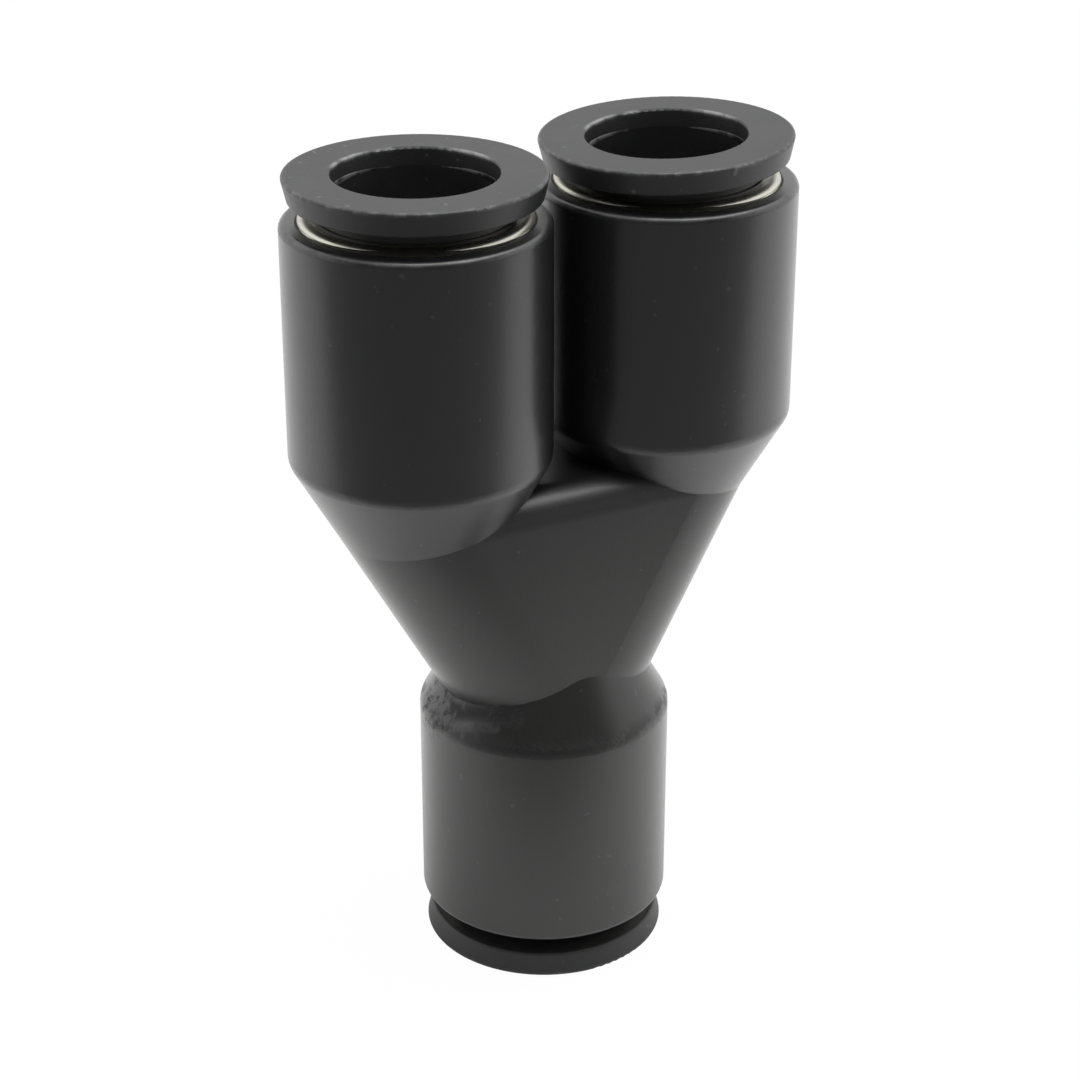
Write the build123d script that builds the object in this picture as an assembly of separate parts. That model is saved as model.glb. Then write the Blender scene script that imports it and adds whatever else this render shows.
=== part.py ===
from build123d import *
from math import cos, degrees, radians, sin, tan
import os

# Push-in Y union for one 8 mm tube into two, in millimetres.
# The origin is the middle of the lower collet's foot, +Z runs up the lower port,
# and X runs through the axes of both upper ports.

# Tube
tube_diameter = 8.0
tube_clearance = 0.06
tube_pocket_clearance = 0.1

# Moulded body, outside
barrel_wall = 0.95
barrel_gap = 0.7
upper_rim_height = 42.15
upper_barrel_length = 12.45
lower_barrel_length = 11.6
rim_round = 0.35
barrel_foot_round = 1.0
upper_shoulder_angle = 29.8
lower_shoulder_angle = 30.0
shoulder_run_in = 1.8
leg_wall = 1.95
leg_run_in = 1.0
leg_tilt = 29.5
web_top_drop = 1.6
web_top_round = 1.7

# Moulded body, inside
mouth_chamfer = 0.15
tube_stop_depth = 12.3
tube_stop_ledge = 1.1

# Release collet
collet_travel = 0.75
travel_room = 0.05
flange_inset = 0.175
flange_thickness = 1.25
flange_draft = 0.29
flange_edge_round = 0.15
neck_wall = 0.85
neck_clearance = 0.08
lead_in_depth = 0.9
lead_in_widening = 0.1
lead_in_round = 0.12
barb_gap = 0.25
barb_height = 0.33
barb_length = 0.8
nose_wall = 0.4
nose_room = 0.1
nose_lip_round = 0.1
slit_count = 4
slit_width = 0.8
slit_above_barb = 0.9

# Lean of the one loose collet, as a share of what its clearances allow
lean_share = 0.7

# Retainer collar, pressed into the mouth
collar_stand_out = 0.3
collar_crown_width = 0.5
collar_press = 0.02
guide_length = 1.9
collar_length = 4.9
skirt_wall = 0.4
skirt_clearance = 0.16

# Toothed grip ring
grip_thickness = 0.3
grip_bite = 0.1
grip_rim_width = 0.8
grip_tooth_angle = 40.0
grip_tooth_count = 8
grip_gap_width = 0.7
ring_clearance = 0.07

# Support ring between the grip ring and the seal
support_length = 2.05
support_lip = 0.6
support_bore_clearance = 0.15
support_tooth_room = 0.5

# Seal
seal_squeeze = 0.07
seal_clearance = 0.02

# How far a cutting tool runs past the face it opens, and how near a picked edge has to lie
cut_overshoot = 1.0
pick_tolerance = 0.01

# Radii of a port, from the tube outwards
tube_radius = tube_diameter / 2
passage_radius = tube_radius - tube_stop_ledge
pocket_radius = tube_radius + tube_pocket_clearance
collet_bore_radius = tube_radius + tube_clearance
neck_radius = collet_bore_radius + neck_wall
guide_radius = neck_radius + neck_clearance
barb_radius = neck_radius + barb_height
skirt_radius = barb_radius + skirt_clearance
mouth_radius = skirt_radius + skirt_wall
barrel_radius = mouth_radius + barrel_wall
flange_radius = barrel_radius - flange_inset
leg_radius = passage_radius + leg_wall
port_offset = barrel_radius + barrel_gap / 2

# Levels along a port, measured from its rim, with plus pointing out of the mouth
collet_stand_out = collar_stand_out + collet_travel + travel_room + flange_thickness
flange_underside = collet_stand_out - flange_thickness
guide_end = collar_stand_out - guide_length
collar_end = collar_stand_out - collar_length
barb_top = guide_end - barb_gap
barb_foot = barb_top - barb_length
grip_root = mouth_radius - ring_clearance - grip_rim_width
tooth_slope = tan(radians(grip_tooth_angle))
nose_radius = collet_bore_radius + nose_wall
nose_tip = collar_end - (grip_root - nose_radius) * tooth_slope + collet_travel + nose_room
grip_underside = collar_end - grip_thickness
support_end = grip_underside - support_length
seal_section = mouth_radius - seal_clearance - (tube_radius - seal_squeeze)
seal_seat = support_end - seal_section - 2 * seal_clearance
slit_top = barb_top + slit_above_barb

collet_lean = lean_share * min(2 * neck_clearance / guide_length, barb_gap / barb_radius)

# Levels of the body, from the lower collet's foot
lower_rim_height = collet_stand_out
upper_foot = upper_rim_height - upper_barrel_length
lower_head = lower_rim_height + lower_barrel_length
shoulder_width = barrel_radius - leg_radius
upper_shoulder_end = upper_foot - shoulder_width / tan(radians(upper_shoulder_angle))
lower_shoulder_end = lower_head + shoulder_width / tan(radians(lower_shoulder_angle))
web_top = upper_foot - web_top_drop

# A leg's outer side starts from the end of the upper shoulder
leg_top_x = port_offset + leg_radius - leg_radius / cos(radians(leg_tilt))
leg_apex = upper_shoulder_end - leg_top_x / tan(radians(leg_tilt))


def turned(points):
    """A solid turned about Z from a closed outline of (radius, height) points."""
    outline = Polyline(*[(radius, 0, height) for radius, height in points], close=True)
    return revolve(make_face(outline), Axis.Z, 360)


def rounded_rings(solid, picks):
    """Rounds the circular edges at the given (radius, height, fillet radius)."""
    for radius, height, fillet_radius in picks:
        rings = [
            edge
            for edge in solid.edges().filter_by(GeomType.CIRCLE)
            if abs(edge.radius - radius) < pick_tolerance
            and abs(edge.center().Z - height) < pick_tolerance
        ]
        solid = fillet(rings, fillet_radius)
    return solid


def upper_port_outside():
    """Upper barrel with its rim round and the cone that runs in under it, about its own axis."""
    tip = upper_shoulder_end - shoulder_run_in
    barrel = turned([
        (0, tip),
        (leg_radius - shoulder_run_in * tan(radians(upper_shoulder_angle)), tip),
        (barrel_radius, upper_foot),
        (barrel_radius, upper_rim_height),
        (0, upper_rim_height),
    ])
    return rounded_rings(barrel, [
        (barrel_radius, upper_rim_height, rim_round),
        (barrel_radius, upper_foot, barrel_foot_round),
    ])


def lower_port_outside():
    """Lower barrel with its rim round and the cone above it."""
    barrel = turned([
        (0, lower_rim_height),
        (barrel_radius, lower_rim_height),
        (barrel_radius, lower_head),
        (leg_radius, lower_shoulder_end),
        (0, lower_shoulder_end),
    ])
    return rounded_rings(barrel, [
        (barrel_radius, lower_rim_height, rim_round),
        (barrel_radius, lower_head, barrel_foot_round),
    ])


def leg_axis_length():
    """Length of a leg's axis, from the middle of the body up to its upper port's axis."""
    return port_offset / sin(radians(leg_tilt))


def leg_bar(side, radius, run_out=0.0):
    """Round bar along one slanted leg, from the middle of the body to run_out past its port's axis."""
    bar = extrude(Circle(radius), leg_axis_length() + run_out)
    return Pos(0, 0, leg_apex) * Rot(0, side * leg_tilt, 0) * bar


def leg(side):
    """Outside of a leg, which runs up into the upper shoulder and is cut level in there."""
    bar = leg_bar(side, leg_radius, run_out=leg_radius * tan(radians(leg_tilt)))
    level = Plane.XY.offset(upper_shoulder_end + leg_run_in)
    return split(bar, bisect_by=level, keep=Keep.BOTTOM)


def stem():
    """Upright part of the body from the lower barrel up to where the legs part."""
    return Pos(0, 0, lower_rim_height) * extrude(Circle(leg_radius), leg_apex - lower_rim_height)


def web():
    """Flat-faced web between the legs' axes, with a rounded top edge between the barrels."""
    half_top = (web_top - leg_apex) * tan(radians(leg_tilt))
    outline = Polyline((0, leg_apex), (half_top, web_top), (-half_top, web_top), close=True)
    plate = extrude(Plane.XZ * make_face(outline), leg_radius, both=True)
    long_edges = plate.edges().filter_by(Axis.X).sort_by(Axis.Z)[-2:]
    return fillet(long_edges, web_top_round)


def socket():
    """Stepped pocket cut into a port: cartridge bore, tube pocket and its stop."""
    return turned([
        (0, cut_overshoot),
        (mouth_radius + mouth_chamfer + cut_overshoot, cut_overshoot),
        (mouth_radius, -mouth_chamfer),
        (mouth_radius, seal_seat),
        (pocket_radius, seal_seat),
        (pocket_radius, -tube_stop_depth),
        (0, -tube_stop_depth),
    ])


def passage(side):
    """Flow passage from the lower tube pocket up one leg into an upper pocket."""
    bend_height = leg_apex + port_offset / tan(radians(leg_tilt))
    bend = Pos(side * port_offset, 0, bend_height)
    riser = extrude(Circle(passage_radius), upper_rim_height - bend_height)
    return leg_bar(side, passage_radius) + bend * Sphere(passage_radius) + bend * riser


def body():
    solid = lower_port_outside() + stem() + web()
    for side in (-1, 1):
        solid += Pos(side * port_offset, 0, 0) * upper_port_outside()
        solid += leg(side)
    for place in port_places().values():
        solid -= place * socket()
    solid -= Pos(0, 0, lower_rim_height) * extrude(Circle(passage_radius), leg_apex - lower_rim_height)
    for side in (-1, 1):
        solid -= passage(side)
    return solid


def port_places():
    """Where each port's rim centre lies, with local +Z pointing out of the mouth."""
    return {
        "left": Pos(-port_offset, 0, upper_rim_height),
        "right": Pos(port_offset, 0, upper_rim_height),
        "lower": Pos(0, 0, lower_rim_height) * Rot(180, 0, 0),
    }


def release_collet():
    """Flanged sleeve that slides in the collar, with a snap barb and a slit, tapered nose."""
    lead_in_end = collet_stand_out - lead_in_depth
    sleeve = turned([
        (collet_bore_radius, nose_tip),
        (nose_radius, nose_tip),
        (neck_radius, barb_foot),
        (barb_radius, barb_top - barb_height),
        (barb_radius, barb_top),
        (neck_radius, barb_top),
        (neck_radius, flange_underside),
        (flange_radius - flange_draft, flange_underside),
        (flange_radius, collet_stand_out),
        (collet_bore_radius + lead_in_widening, collet_stand_out),
        (collet_bore_radius, lead_in_end),
    ])
    sleeve = rounded_rings(sleeve, [
        (flange_radius, collet_stand_out, flange_edge_round),
        (flange_radius - flange_draft, flange_underside, flange_edge_round),
        (collet_bore_radius + lead_in_widening, collet_stand_out, lead_in_round),
        (nose_radius, nose_tip, nose_lip_round),
    ])
    slit_length = slit_top - nose_tip + cut_overshoot
    for turn in range(slit_count):
        cut = Box(
            barb_radius + cut_overshoot,
            slit_width,
            slit_length,
            align=(Align.MIN, Align.CENTER, Align.MAX),
        )
        sleeve -= Rot(0, 0, turn * 360 / slit_count) * Pos(0, 0, slit_top) * cut
    return sleeve


def retainer_collar():
    """Pressed metal ring with a crowned rim, a guide for the neck and a thin skirt."""
    outer = mouth_radius + collar_press
    return turned([
        (guide_radius, guide_end),
        (skirt_radius, guide_end),
        (skirt_radius, collar_end),
        (outer, collar_end),
        (outer, 0),
        (outer - collar_crown_width, collar_stand_out),
        (guide_radius, collar_stand_out),
    ])


def grip_ring():
    """Spring steel washer whose flat rim carries slanted teeth that point down the tube."""
    outer = mouth_radius - ring_clearance
    tip = tube_radius - grip_bite
    tip_top = collar_end - (grip_root - tip) * tooth_slope
    tip_underside = tip_top - grip_thickness / cos(radians(grip_tooth_angle))
    cone = turned([
        (outer, collar_end),
        (grip_root, collar_end),
        (tip, tip_top),
        (tip, tip_underside),
        (grip_root, grip_underside),
        (outer, grip_underside),
    ])
    for turn in range(grip_tooth_count):
        gap = Box(grip_root, grip_gap_width, collar_length, align=(Align.MIN, Align.CENTER, Align.CENTER))
        cone -= Rot(0, 0, (turn + 0.5) * 360 / grip_tooth_count) * Pos(0, 0, collar_end) * gap
    return cone


def support_ring():
    """Plastic ring that carries the grip ring's rim and leaves room under its teeth."""
    outer = mouth_radius - ring_clearance
    bore = tube_radius + support_bore_clearance
    return turned([
        (bore, support_end),
        (outer, support_end),
        (outer, grip_underside),
        (outer - support_lip, grip_underside),
        (bore, grip_underside - support_length + support_tooth_room),
    ])


def seal():
    """O-ring that seals the tube against the body."""
    centre_radius = tube_radius - seal_squeeze + seal_section / 2
    return Pos(0, 0, support_end - seal_clearance - seal_section / 2) * Torus(
        centre_radius, seal_section / 2
    )


def leaned(collet):
    """The loose collet, leaned about the middle of its guide."""
    pivot = collar_stand_out - guide_length / 2
    return Pos(0, 0, pivot) * Rot(0, -degrees(collet_lean), 0) * Pos(0, 0, -pivot) * collet


def build():
    pieces = {"body": body()}
    cartridge = {
        "release_collet": release_collet(),
        "retainer_collar": retainer_collar(),
        "grip_ring": grip_ring(),
        "support_ring": support_ring(),
        "seal": seal(),
    }
    for port, place in port_places().items():
        for name, piece in cartridge.items():
            if port == "right" and name == "release_collet":
                piece = leaned(piece)
            pieces[port + "_" + name] = place * piece
    return pieces


os.makedirs("parts", exist_ok=True)
for name, piece in build().items():
    export_step(piece, "parts/" + name + ".step")
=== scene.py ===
import math

import bpy
import numpy as np
from mathutils import Matrix, Vector


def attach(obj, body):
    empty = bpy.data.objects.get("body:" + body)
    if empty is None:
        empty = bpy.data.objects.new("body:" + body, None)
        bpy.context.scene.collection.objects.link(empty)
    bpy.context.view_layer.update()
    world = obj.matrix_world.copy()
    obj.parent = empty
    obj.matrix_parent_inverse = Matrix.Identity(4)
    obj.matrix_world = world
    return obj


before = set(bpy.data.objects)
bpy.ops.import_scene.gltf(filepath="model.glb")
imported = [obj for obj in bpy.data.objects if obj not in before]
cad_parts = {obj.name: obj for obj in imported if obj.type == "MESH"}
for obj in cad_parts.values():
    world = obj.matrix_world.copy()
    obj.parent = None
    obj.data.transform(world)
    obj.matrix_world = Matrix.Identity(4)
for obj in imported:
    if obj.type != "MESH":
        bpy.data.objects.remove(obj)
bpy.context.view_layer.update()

# Sizes of the fitting in metres, as its solids have them
BARREL_RADIUS = 0.00675
PORT_OFFSET = 0.0071
UPPER_RIM = 0.04215
LOWER_RIM = 0.00235
RIM_ROUND = 0.00035
MOUTH_RADIUS = 0.0058
FLANGE_RADIUS = 0.006575
STAND_OUT = 0.00235
HOLE_RADIUS = 0.00416

# Lean of the right collet, and the height of the point in its collar about which it leans
LEAN = math.radians(1.91)
LEAN_PIVOT = 0.0415

# Ledge in each tube hole: radius and depth of its section's middle, and half its width and height
LEDGE_RADIUS = 0.00407
LEDGE_DEPTH = 0.00094
LEDGE_HALF_WIDTH = 0.000045
LEDGE_HALF_HEIGHT = 0.00016

# Rounded bead on each metal collar, level with the barrel's rim
BEAD_RADIUS = 0.0054
BEAD_HALF_WIDTH = 0.00043
BEAD_HALF_HEIGHT = 0.00032

# Ledges and beads stand out in full at this bearing and opposite it, and keep these shares between
FULL_SIDE = math.radians(152)
LEDGE_FAINT = 0.25
BEAD_FAINT = 0.58

# Points round a ring, and round its section
RING_STEPS = 160
SECTION_STEPS = 24

# Where the holes' edges and ledges are painted pale, as wear and as painted highlights: bearing, half
# width and strength of each arc
WORN_AND_HIGHLIGHT_ARCS = (
    (math.radians(120), math.radians(26), 1.0),
    (math.radians(87), math.radians(9), 0.5),
    (math.radians(24), math.radians(28), 1.0),
)

# Share of an arc's half width, and of a mark's reach, within which it has its full strength
ARC_CORE = 0.4
MARK_CORE = 0.3

# How far the wear and the painted highlights on it reach from the edges of the mouths, flanges and
# tube holes
MOUTH_EDGE_REACH = 0.0002
FLANGE_EDGE_REACH = 0.00028
HOLE_EDGE_REACH = 0.00026

# Rounded top edge of the web, a little duller than the rest of the body
WEB_EDGE = ((-0.004, -0.0043, 0.0268), (0.0045, -0.0043, 0.0268))
WEB_EDGE_REACH = 0.0017

# Scuffed spot on the lower shoulder
SCUFF_PLACE = (-0.0062, 0.0004, 0.0147)
SCUFF_REACH = 0.0023

# Painted shade at the foot of the left leg, rubbed streak below it, and painted shade in a ragged
# band along the edge over the lower barrel
LEG_FOOT_SHADE = ((-0.0060, -0.0012, 0.0150), (-0.0039, -0.0042, 0.0156))
LEG_FOOT_SHADE_REACH = 0.0007
STREAK = ((-0.0062, -0.00185, 0.01445), (-0.0049, -0.0037, 0.01495))
STREAK_REACH = 0.0004
EDGE_RADIUS = 0.0066
EDGE_HEIGHT = 0.01415
EDGE_REACH = 0.0008

# Heights between which the body's black turns from warm to cool
WARM_BELOW = 0.022
COOL_ABOVE = 0.032

# What the finishes have in common
BUMP_STRENGTH = 0.5
ACETAL_IOR = 1.46
WHITE = (1, 1, 1, 1)

# Photograph's view in degrees, and the origin's place in metres to its right, below and ahead
VIEW_AZIMUTH = 28.0296
VIEW_ELEVATION = 25.2327
VIEW_ROLL = 0.0253
VIEW_ORIGIN = (0.0002066, 0.0210033, 0.1484872)

# Focal length and width of the photograph in pixels, and the camera's own sizes
FOCAL_PIXELS = 2613.10
PHOTO_WIDTH = 1080
SENSOR_WIDTH = 36.0
NEAR_CLIP = 0.01
FAR_CLIP = 10.0

# Level direction in which the photograph looks, as its parts along +X and +Y
VIEW_SIDE = 0.47
VIEW_BACK = 0.883

# White sheet, and how far in front of the fitting the painted shade of grey on the floor begins and
# is reached
FLOOR_HALF = 0.6
FLOOR_WHITE = (0.9, 0.9, 0.895, 1)
FRONT_SHADE_GREY = (0.26, 0.26, 0.26, 1)
FRONT_SHADE_BEGINS = 0.01
FRONT_SHADE_REACHED = 0.04
SEEN_WHITE = 0.97

# Light of the room, and how much of it the dim part in front and the part behind take away
ROOM_LIGHT = 1.25
FRONT_LOSS = 1.07
BACK_LOSS = 0.25

# Cosines of bearing from the camera's side, and sines of elevation, between which those parts fade
FRONT_BEARING = (0.2, 0.75)
FRONT_TOP = (0.62, 0.82)
BACK_BEARING = (-0.6, -0.9)
BACK_TOP = (0.5, 0.7)

# The front part widens by this cosine between these sines of elevation
FRONT_WIDENING = 0.25
FRONT_WIDENS = (0.25, 0.45)

# Keeps the bearing from a division by nothing straight overhead
TINY = 0.0001

# Soft box over the fitting
LAMP_PLACE = (0.06, -0.03, 0.3)
LAMP_TARGET = (0, 0, 0.03)
LAMP_SIZE = 0.24
LAMP_POWER = 0.6


class Wire:
    """An output of a node, on which Python's operators add Math nodes."""

    def __init__(self, finish, socket):
        self.finish = finish
        self.socket = socket

    def maths(self, operation, *terms):
        return self.finish.node("ShaderNodeMath", {"operation": operation}, dict(enumerate(terms)))

    def __add__(self, other):
        return self.maths("ADD", self, other)

    __radd__ = __add__

    def __sub__(self, other):
        return self.maths("SUBTRACT", self, other)

    def __rsub__(self, other):
        return self.maths("SUBTRACT", other, self)

    def __mul__(self, other):
        return self.maths("MULTIPLY", self, other)

    __rmul__ = __mul__

    def __truediv__(self, other):
        return self.maths("DIVIDE", self, other)

    def __rtruediv__(self, other):
        return self.maths("DIVIDE", other, self)

    def __pow__(self, other):
        return self.maths("POWER", self, other)


class Finish:
    """A material whose nodes are added one by one, each giving the wire of its output."""

    def __init__(self, name, tree=None):
        if tree is None:
            self.material = bpy.data.materials.new(name)
            self.material.use_nodes = True
            tree = self.material.node_tree
        self.tree = tree
        self.tree.nodes.clear()

    def node(self, kind, settings=None, inputs=None, output=0):
        """A node of a type, with its settings and then its sockets' values or links."""
        made = self.tree.nodes.new(kind)
        for key, value in (settings or {}).items():
            setattr(made, key, value)
        for key, value in (inputs or {}).items():
            if isinstance(value, Wire):
                self.tree.links.new(value.socket, made.inputs[key])
            else:
                made.inputs[key].default_value = value
        return Wire(self, made.outputs[output]) if len(made.outputs) else None

    def place(self, centre=(0, 0, 0), turn=(0, 0, 0)):
        """Object coordinates, centred and turned on a piece of the fitting."""
        coordinates = self.node("ShaderNodeTexCoord", output="Object")
        subtract = {"operation": "SUBTRACT"}
        moved = self.node("ShaderNodeVectorMath", subtract, {0: coordinates, 1: centre})
        return self.node("ShaderNodeMapping", {}, {"Vector": moved, "Rotation": turn})

    def axes(self, vector):
        split = self.node("ShaderNodeSeparateXYZ", {}, {0: vector})
        outputs = split.socket.node.outputs
        return [Wire(self, outputs[i]) for i in range(3)]

    def noise(self, vector, scale, detail=3.0, roughness=0.5):
        return self.node("ShaderNodeTexNoise", {}, {
            "Vector": vector, "Scale": scale, "Detail": detail, "Roughness": roughness,
        })

    def ramp(self, value, low, high, start=0.0, end=1.0):
        """Smooth step of a value from low to high, onto start to end."""
        return self.node("ShaderNodeMapRange", {"interpolation_type": "SMOOTHSTEP"}, {
            "Value": value, "From Min": low, "From Max": high, "To Min": start, "To Max": end,
        })

    def clamp(self, value):
        return self.node("ShaderNodeClamp", {}, {"Value": value})

    def mix(self, factor, first, second):
        """The first colour where the factor is none and the second where it is one."""
        colours = {0: factor, 6: first, 7: second}
        return self.node("ShaderNodeMix", {"data_type": "RGBA"}, colours, output=2)

    def bump(self, height, distance):
        return self.node("ShaderNodeBump", {}, {
            "Height": height, "Distance": distance, "Strength": BUMP_STRENGTH,
        })

    def end(self, **sockets):
        """Ends the material in a Principled shader, with each socket named in small letters."""
        named = {}
        for key, value in sockets.items():
            named[key.replace("_", " ").title().replace("Ior", "IOR")] = value
        shader = self.node("ShaderNodeBsdfPrincipled", {}, named)
        self.node("ShaderNodeOutputMaterial", {}, {"Surface": shader})
        return self.material


def grey(value, warmth=0.0):
    """A grey with its red raised and its blue lowered by the warmth's share."""
    return (value * (1 + warmth), value, value * (1 - warmth), 1.0)


def distance(*parts):
    """Root of the sum of the parts' squares."""
    return sum((part * part for part in parts), 0.0) ** 0.5


def ring_mask(finish, place, radius, height, reach):
    """One on a circular edge about the Z axis of a place, and none further than reach from it."""
    x, y, z = finish.axes(place)
    away = distance(distance(x, y) - radius, z - height)
    return finish.ramp(away, 0.0, reach, 1.0, 0.0)


def worn_and_highlight_arcs(finish, place):
    """The pale arcs about the Z axis of a place, wear and painted highlight together, each strongest
    at its bearing and faded beside.
    """
    x, y, _ = finish.axes(place)
    radial = distance(x, y)
    total = 0.0
    for bearing, half, strength in WORN_AND_HIGHLIGHT_ARCS:
        along = (x * math.cos(bearing) + y * math.sin(bearing)) / radial
        arc = finish.ramp(along, math.cos(half), math.cos(half * ARC_CORE))
        total = total + arc * strength
    return total


def line_mask(finish, place, start, end, reach):
    """One along the straight line from start to end, and none further than reach from it."""
    run = Vector(end) - Vector(start)
    offset = [axis - first for axis, first in zip(finish.axes(place), start)]
    along = sum((part * step for part, step in zip(offset, run)), 0.0) / run.length_squared
    along = finish.clamp(along)
    aside = [part - along * step for part, step in zip(offset, run)]
    return finish.ramp(distance(*aside), reach * MARK_CORE, reach, 1.0, 0.0)


def flecks(finish, place, scale, low, high):
    """Sparse spots where a fine noise peaks."""
    return finish.ramp(finish.noise(place, scale, detail=1.0, roughness=0.3), low, high)


def body_nylon():
    """Satin black nylon: soft clouds, fine grain, rims worn pale with painted highlights, scuffs low
    down, and painted shade at the left leg's foot and over the lower barrel.
    """
    finish = Finish("body_nylon")
    place = finish.place()
    _, _, height = finish.axes(place)
    cloud = finish.noise(place, scale=260.0, detail=4.0, roughness=0.55)
    grain = finish.noise(place, scale=9000.0, detail=2.0, roughness=0.6)
    shade_blotches = finish.noise(place, scale=900.0, detail=4.0, roughness=0.7)
    specks = flecks(finish, place, scale=2300.0, low=0.765, high=0.8)

    # Wear on the rims and mouths, in patches, pale also as painted highlights along those edges
    rims = ring_mask(finish, place, BARREL_RADIUS, LOWER_RIM, RIM_ROUND)
    mouths = 0.0
    for side in (-PORT_OFFSET, PORT_OFFSET):
        port = finish.place((side, 0, 0))
        rims = rims + ring_mask(finish, port, BARREL_RADIUS, UPPER_RIM, RIM_ROUND)
        mouths = mouths + ring_mask(finish, port, MOUTH_RADIUS, UPPER_RIM, MOUTH_EDGE_REACH)
    rim_patches = finish.noise(place, scale=700.0, roughness=0.6)
    mouth_patches = finish.noise(place, scale=1100.0, roughness=0.7)
    wear_and_sheen = rims * finish.ramp(rim_patches, low=0.38, high=0.6)
    wear_and_sheen = wear_and_sheen + mouths * finish.ramp(mouth_patches, low=0.48, high=0.62)

    # Scuffs on the lower shoulder, painted shade at the left leg's foot and along the edge over the
    # lower barrel, and the streak rubbed through them
    from_scuff = distance(*finish.axes(finish.place(SCUFF_PLACE)))
    near = finish.ramp(from_scuff, SCUFF_REACH * MARK_CORE, SCUFF_REACH, 1.0, 0.0)
    scratches = finish.noise(place, scale=2100.0, detail=4.0, roughness=0.7)
    scuff = near * finish.ramp(scratches, low=0.48, high=0.6)
    leg_foot_shade = line_mask(finish, place, *LEG_FOOT_SHADE, LEG_FOOT_SHADE_REACH)
    leg_foot_shade = leg_foot_shade * finish.ramp(shade_blotches, low=0.38, high=0.52)
    edge = ring_mask(finish, place, EDGE_RADIUS, EDGE_HEIGHT, EDGE_REACH)
    edge = edge * finish.ramp(shade_blotches, low=0.44, high=0.56)
    scuff_and_shade = finish.clamp(scuff + leg_foot_shade + edge * 0.6)
    streak = line_mask(finish, place, *STREAK, STREAK_REACH)
    streak = streak * finish.ramp(finish.noise(place, scale=900.0), low=0.36, high=0.64)
    web_edge = line_mask(finish, place, *WEB_EDGE, WEB_EDGE_REACH)

    warm_black = (0.007, 0.0066, 0.0058, 1)
    cool_black = (0.0064, 0.0066, 0.0082, 1)
    clouded_black = grey(0.009, warmth=-0.02)
    pale_wear_and_sheen_grey = grey(0.1)
    scuff_and_shade_black = grey(0.002)
    streak_grey = grey(0.08)
    colour = finish.mix(finish.ramp(height, WARM_BELOW, COOL_ABOVE), warm_black, cool_black)
    colour = finish.mix(cloud * 0.5, colour, clouded_black)
    # Pale rims and mouths: wear, with painted highlights along the edges
    colour = finish.mix(wear_and_sheen * 0.6, colour, pale_wear_and_sheen_grey)
    colour = finish.mix(specks * 0.18, colour, pale_wear_and_sheen_grey)
    # Darker where scuffed, and painted shade at the leg's foot and over the lower barrel
    colour = finish.mix(scuff_and_shade * 0.75, colour, scuff_and_shade_black)
    colour = finish.mix(streak * 0.5, colour, streak_grey)
    return finish.end(
        base_color=colour,
        roughness=0.31 + cloud * 0.09 - wear_and_sheen * 0.08 + scuff_and_shade * 0.3 + web_edge * 0.05,
        coat_weight=0.35 - scuff_and_shade * 0.3 - web_edge * 0.06,
        coat_roughness=0.2,
        normal=finish.bump(grain + specks * 0.2 - scuff_and_shade * 3.0, distance=0.000012),
    )


def collet_acetal():
    """Satin black acetal, pale along the edges of its flanges and holes with wear and painted
    highlights.
    """
    finish = Finish("collet_acetal")
    place = finish.place()
    cloud = finish.noise(place, scale=420.0, detail=4.0, roughness=0.6)
    grain = finish.noise(place, scale=7000.0, roughness=0.6)
    specks = flecks(finish, place, scale=1900.0, low=0.75, high=0.79)

    # The right collet's coordinates start at the point about which it leans
    top = UPPER_RIM + STAND_OUT
    left = finish.place((-PORT_OFFSET, 0, 0))
    right = finish.place((PORT_OFFSET, 0, LEAN_PIVOT), turn=(0, LEAN, 0))
    edges = ring_mask(finish, place, FLANGE_RADIUS, 0.0, FLANGE_EDGE_REACH)
    holes = 0.0
    for port, height in ((left, top), (right, top - LEAN_PIVOT)):
        edges = edges + ring_mask(finish, port, FLANGE_RADIUS, height, FLANGE_EDGE_REACH)
        hole = ring_mask(finish, port, HOLE_RADIUS, height, HOLE_EDGE_REACH)
        holes = holes + hole * worn_and_highlight_arcs(finish, port)
    edge_patches = finish.noise(place, scale=2400.0, roughness=0.6)
    hole_patches = finish.noise(place, scale=900.0, roughness=0.6)
    # Pale rubbed edges and hole arcs: partly wear, partly painted highlights
    rubbed_and_sheen = edges * (0.3 + 0.7 * finish.ramp(edge_patches, low=0.45, high=0.7)) * 0.85
    worn_and_highlight = holes * (0.25 + 0.75 * finish.ramp(hole_patches, low=0.42, high=0.58))

    deep_black = grey(0.011, warmth=-0.03)
    clouded_black = grey(0.02, warmth=-0.02)
    rubbed_and_sheen_grey = grey(0.22)
    pale_wear_and_sheen_grey = grey(0.34)
    fleck_grey = grey(0.14)
    colour = finish.mix(cloud, deep_black, clouded_black)
    colour = finish.mix(rubbed_and_sheen * 0.7, colour, rubbed_and_sheen_grey)
    colour = finish.mix(worn_and_highlight * 0.7, colour, pale_wear_and_sheen_grey)
    colour = finish.mix(specks * 0.4, colour, fleck_grey)
    return finish.end(
        base_color=colour,
        roughness=0.36 + cloud * 0.12 - (rubbed_and_sheen + worn_and_highlight) * 0.1,
        ior=ACETAL_IOR,
        normal=finish.bump(grain + specks * 0.5, distance=0.000015),
    )


def collar_nickel():
    """Bright nickel plate with a warm cast."""
    finish = Finish("collar_nickel")
    place = finish.place()
    cloud = finish.noise(place, scale=500.0, roughness=0.6)
    grain = finish.noise(place, scale=12000.0, detail=2.0, roughness=0.6)
    bright = (0.82, 0.81, 0.72, 1)
    clouded = (0.7, 0.69, 0.6, 1)
    return finish.end(
        base_color=finish.mix(cloud, bright, clouded),
        metallic=1.0,
        roughness=0.16 + cloud * 0.1,
        normal=finish.bump(grain, distance=0.000004),
    )


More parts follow.
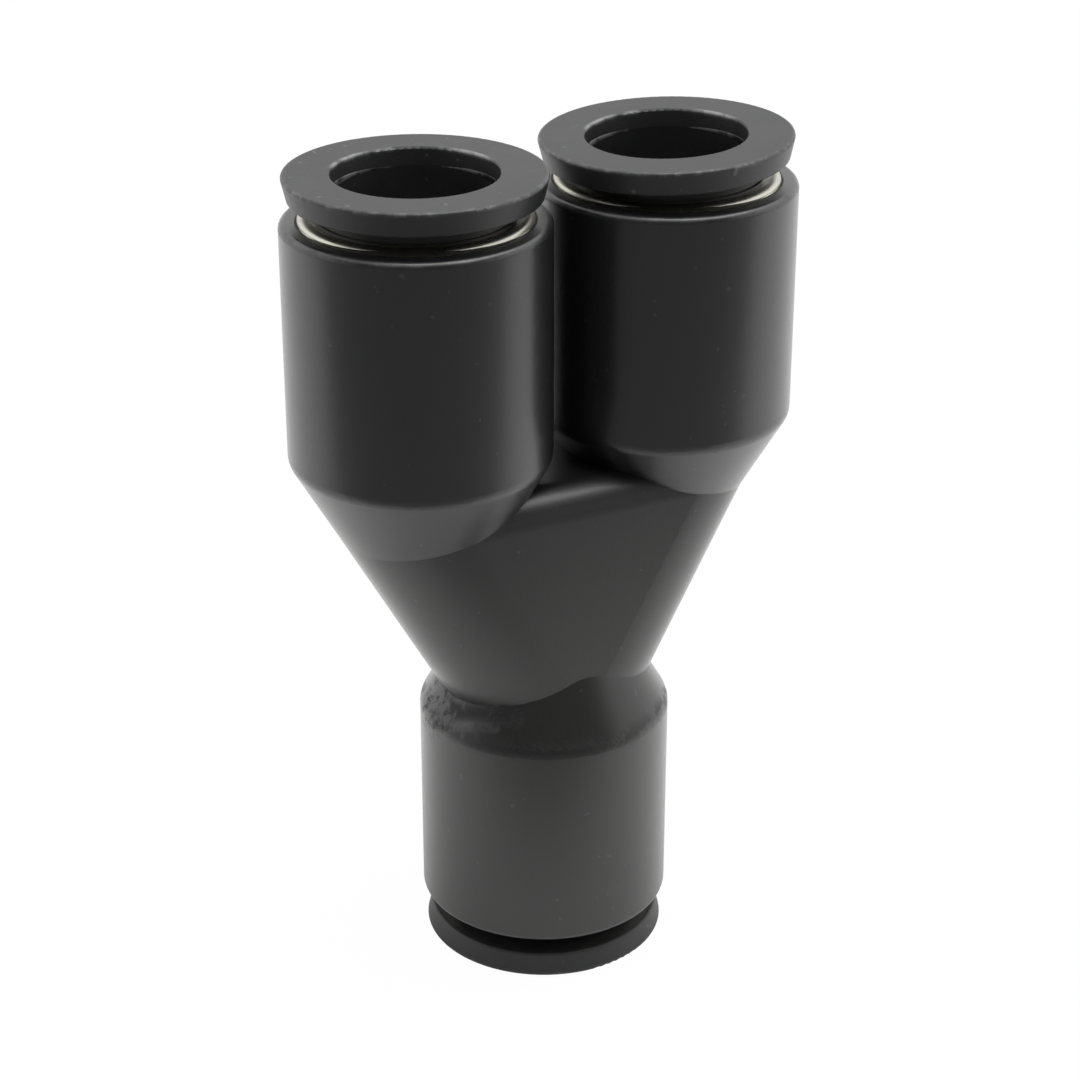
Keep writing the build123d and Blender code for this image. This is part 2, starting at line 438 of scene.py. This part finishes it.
def bead_nickel():
    """Satin nickel of the collars' rounded beads, duller in soft patches."""
    finish = Finish("bead_nickel")
    place = finish.place()
    cloud = finish.noise(place, scale=700.0, roughness=0.6)
    grain = finish.noise(place, scale=9000.0, detail=2.0, roughness=0.6)
    bright = (0.68, 0.67, 0.59, 1)
    dull = (0.55, 0.54, 0.47, 1)
    return finish.end(
        base_color=finish.mix(cloud, bright, dull),
        metallic=1.0,
        roughness=0.3 + cloud * 0.14,
        normal=finish.bump(grain, distance=0.000006),
    )


def ledge_acetal(port, centre):
    """Acetal of a hole's ledge, pale in arcs, partly wear where tubes have slid over it and partly
    painted highlight.
    """
    finish = Finish(port + "_ledge_acetal")
    place = finish.place()
    patches = finish.noise(place, scale=900.0, roughness=0.6)
    grain = finish.noise(place, scale=7000.0, roughness=0.6)
    # Pale arcs on the ledge: wear with painted highlights
    rubbed_and_sheen = worn_and_highlight_arcs(finish, finish.place((centre, 0, 0)))
    rubbed_and_sheen = rubbed_and_sheen * finish.ramp(patches, low=0.36, high=0.56)
    ledge_black = grey(0.008)
    rubbed_and_sheen_grey = grey(0.12)
    return finish.end(
        base_color=finish.mix(rubbed_and_sheen, ledge_black, rubbed_and_sheen_grey),
        roughness=0.38 + rubbed_and_sheen * 0.1,
        ior=ACETAL_IOR,
        normal=finish.bump(grain, distance=0.00001),
    )


def grip_steel():
    """Bright spring steel of the toothed grip rings, unevenly polished."""
    finish = Finish("grip_steel")
    place = finish.place()
    cloud = finish.noise(place, scale=900.0, roughness=0.6)
    grain = finish.noise(place, scale=14000.0, detail=2.0)
    bright = (0.62, 0.61, 0.6, 1)
    dull = (0.5, 0.49, 0.47, 1)
    return finish.end(
        base_color=finish.mix(cloud, bright, dull),
        metallic=1.0,
        roughness=0.24 + cloud * 0.2,
        normal=finish.bump(grain, distance=0.000005),
    )


def support_acetal():
    """Natural white acetal of the support rings, a little yellowed in clouds."""
    finish = Finish("support_acetal")
    place = finish.place()
    cloud = finish.noise(place, scale=600.0, roughness=0.6)
    grain = finish.noise(place, scale=8000.0, detail=2.0)
    white = (0.72, 0.71, 0.66, 1)
    yellowed = (0.64, 0.62, 0.56, 1)
    return finish.end(
        base_color=finish.mix(cloud, white, yellowed),
        roughness=0.42 + cloud * 0.15,
        normal=finish.bump(grain, distance=0.00001),
    )


def seal_rubber():
    """Black rubber of the seals, matt and finely grained."""
    finish = Finish("seal_rubber")
    place = finish.place()
    cloud = finish.noise(place, scale=700.0, roughness=0.6)
    grain = finish.noise(place, scale=9000.0)
    black = grey(0.012)
    bloomed_black = grey(0.022)
    return finish.end(
        base_color=finish.mix(cloud, black, bloomed_black),
        roughness=0.5 + cloud * 0.2,
        normal=finish.bump(grain, distance=0.00001),
    )


def port_turns():
    """Frames with a port's rim at the origin and +Z out of its mouth, and the right collet's own."""
    lean = Matrix.Translation((PORT_OFFSET, 0, LEAN_PIVOT)) @ Matrix.Rotation(-LEAN, 4, "Y")
    return {
        "left": Matrix.Translation((-PORT_OFFSET, 0, UPPER_RIM)),
        "right": Matrix.Translation((PORT_OFFSET, 0, UPPER_RIM)),
        "leaning": lean @ Matrix.Translation((0, 0, UPPER_RIM - LEAN_PIVOT)),
        "lower": Matrix.Translation((0, 0, LOWER_RIM)) @ Matrix.Rotation(math.pi, 4, "X"),
    }


def ring(name, turn, radius, height, half_width, half_height, faint, body, finish):
    """A closed ring about a port's axis, which stands out at two sides and is faint between them.

    With u round the axis and v round the section, a point is at radius - half_width * share *
    cos(v) from the axis and at height + half_height * share * sin(v) along it. The share goes from
    one at the two full sides to faint halfway between, as the square of cos(u - FULL_SIDE).
    """
    u = np.linspace(0, 2 * np.pi, RING_STEPS, endpoint=False)[:, None]
    v = np.linspace(0, 2 * np.pi, SECTION_STEPS, endpoint=False)[None, :]
    share = faint + (1 - faint) * np.cos(u - FULL_SIDE) ** 2
    out = radius - half_width * share * np.cos(v)
    along = height + half_height * share * np.sin(v)
    points = np.stack([out * np.cos(u), out * np.sin(u), along, np.ones_like(out)], axis=-1)
    points = points.reshape(-1, 4) @ np.array(turn).T
    i, j = np.meshgrid(np.arange(RING_STEPS), np.arange(SECTION_STEPS), indexing="ij")
    next_i, next_j = (i + 1) % RING_STEPS, (j + 1) % SECTION_STEPS
    corners = [i, i, next_i, next_i], [j, next_j, next_j, j]
    faces = np.stack([a * SECTION_STEPS + b for a, b in zip(*corners)], axis=-1).reshape(-1, 4)
    mesh = bpy.data.meshes.new(name)
    mesh.from_pydata(points[:, :3].tolist(), [], faces.tolist())
    mesh.polygons.foreach_set("use_smooth", np.ones(len(faces), bool))
    mesh.materials.append(finish)
    made = bpy.data.objects.new(name, mesh)
    bpy.context.scene.collection.objects.link(made)
    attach(made, body)


def rings():
    """A ledge in each tube hole and a rounded bead on each metal collar."""
    turns = port_turns()
    bead = bead_nickel()
    for port, collet_turn in (("left", "left"), ("right", "leaning"), ("lower", "lower")):
        ring(
            port + "_hole_ledge", turns[collet_turn],
            radius=LEDGE_RADIUS, height=STAND_OUT - LEDGE_DEPTH,
            half_width=LEDGE_HALF_WIDTH, half_height=LEDGE_HALF_HEIGHT, faint=LEDGE_FAINT,
            body=port + "_release",
            finish=ledge_acetal(port, turns[port].translation.x),
        )
        ring(
            port + "_collar_bead", turns[port],
            radius=BEAD_RADIUS, height=0.0,
            half_width=BEAD_HALF_WIDTH, half_height=BEAD_HALF_HEIGHT, faint=BEAD_FAINT,
            body="fitting",
            finish=bead,
        )


def dress():
    """Gives each solid the finish that goes with the last words of its name."""
    finishes = {
        "body": body_nylon(),
        "release_collet": collet_acetal(),
        "retainer_collar": collar_nickel(),
        "grip_ring": grip_steel(),
        "support_ring": support_acetal(),
        "seal": seal_rubber(),
    }
    for name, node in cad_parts.items():
        kind = next(k for k in finishes if name.endswith(k))
        node.data.materials.clear()
        node.data.materials.append(finishes[kind])


def stage_floor():
    """White sheet under the fitting, painted grey in front of it as shade where the light falls off.
    """
    side = FLOOR_HALF
    mesh = bpy.data.meshes.new("floor")
    corners = [(-side, -side, 0), (side, -side, 0), (side, side, 0), (-side, side, 0)]
    mesh.from_pydata(corners, [], [(0, 1, 2, 3)])
    floor = bpy.data.objects.new("floor", mesh)
    bpy.context.scene.collection.objects.link(floor)
    finish = Finish("floor_sheet")
    x, y, _ = finish.axes(finish.node("ShaderNodeTexCoord", output="Object"))
    # Grey painted on the floor in front as shade, where the light falls off
    forward = finish.ramp(x * -VIEW_SIDE + y * -VIEW_BACK, FRONT_SHADE_BEGINS, FRONT_SHADE_REACHED)
    colour = finish.mix(forward, FLOOR_WHITE, FRONT_SHADE_GREY)
    lit = finish.node("ShaderNodeBsdfDiffuse", {}, {"Color": colour})
    white = finish.node("ShaderNodeEmission", {}, {"Color": WHITE, "Strength": 1.0})
    seen = finish.node("ShaderNodeLightPath", output="Is Camera Ray")
    blend = finish.node("ShaderNodeMixShader", {}, {0: seen * SEEN_WHITE, 1: lit, 2: white})
    finish.node("ShaderNodeOutputMaterial", {}, {"Surface": blend})
    mesh.materials.append(finish.material)


def stage_world():
    """White all round, a little less so behind, and dim in the part that the front faces."""
    world = bpy.data.worlds.new("studio")
    bpy.context.scene.world = world
    world.use_nodes = True
    finish = Finish("studio", world.node_tree)
    x, y, z = finish.axes(finish.node("ShaderNodeTexCoord", output="Generated"))
    bearing = (x * -VIEW_SIDE + y * -VIEW_BACK) / (x * x + y * y + TINY) ** 0.5
    widened = bearing + finish.ramp(z, *FRONT_WIDENS) * FRONT_WIDENING
    front = finish.ramp(widened, *FRONT_BEARING) * finish.ramp(z, *FRONT_TOP, 1.0, 0.0)
    back = finish.ramp(bearing, *BACK_BEARING) * finish.ramp(z, *BACK_TOP, 1.0, 0.0)
    seen = finish.node("ShaderNodeLightPath", output="Is Camera Ray")
    strength = seen + (1.0 - seen) * (ROOM_LIGHT - back * BACK_LOSS - front * FRONT_LOSS)
    background = finish.node("ShaderNodeBackground", {}, {"Color": WHITE, "Strength": strength})
    finish.node("ShaderNodeOutputWorld", {}, {"Surface": background})


def lamp():
    """The soft box, turned to its target."""
    data = bpy.data.lights.new("overhead", "AREA")
    data.shape = "SQUARE"
    data.size = LAMP_SIZE
    data.energy = LAMP_POWER
    made = bpy.data.objects.new("overhead", data)
    bpy.context.scene.collection.objects.link(made)
    made.location = LAMP_PLACE
    aim = Vector(LAMP_TARGET) - Vector(LAMP_PLACE)
    made.rotation_euler = aim.to_track_quat("-Z", "Y").to_euler()


def camera():
    """The photograph's viewpoint: position and turn worked out from the fitting's outline."""
    view = (VIEW_AZIMUTH, VIEW_ELEVATION, VIEW_ROLL)
    azimuth, elevation, roll = (math.radians(angle) for angle in view)
    ca, sa = math.cos(azimuth), math.sin(azimuth)
    ce, se = math.cos(elevation), math.sin(elevation)
    cr, sr = math.cos(roll), math.sin(roll)
    turn = np.array([[ca, -sa, 0], [sa, ca, 0], [0, 0, 1]])
    nod = np.array([[1, 0, 0], [0, -se, -ce], [0, ce, -se]])
    lean = np.array([[cr, -sr, 0], [sr, cr, 0], [0, 0, 1]])
    rows = lean @ nod @ turn
    place = -rows.T @ np.array(VIEW_ORIGIN)
    matrix = Matrix.Identity(4)
    for i in range(3):
        matrix[i][0] = rows[0][i]
        matrix[i][1] = -rows[1][i]
        matrix[i][2] = -rows[2][i]
        matrix[i][3] = place[i]
    data = bpy.data.cameras.new("camera")
    data.sensor_width = SENSOR_WIDTH
    data.lens = FOCAL_PIXELS / PHOTO_WIDTH * SENSOR_WIDTH
    data.clip_start = NEAR_CLIP
    data.clip_end = FAR_CLIP
    made = bpy.data.objects.new("camera", data)
    bpy.context.scene.collection.objects.link(made)
    made.matrix_world = matrix
    bpy.context.scene.camera = made


dress()
rings()
stage_floor()
stage_world()
lamp()
camera()
bpy.context.scene.view_settings.view_transform = "Standard"
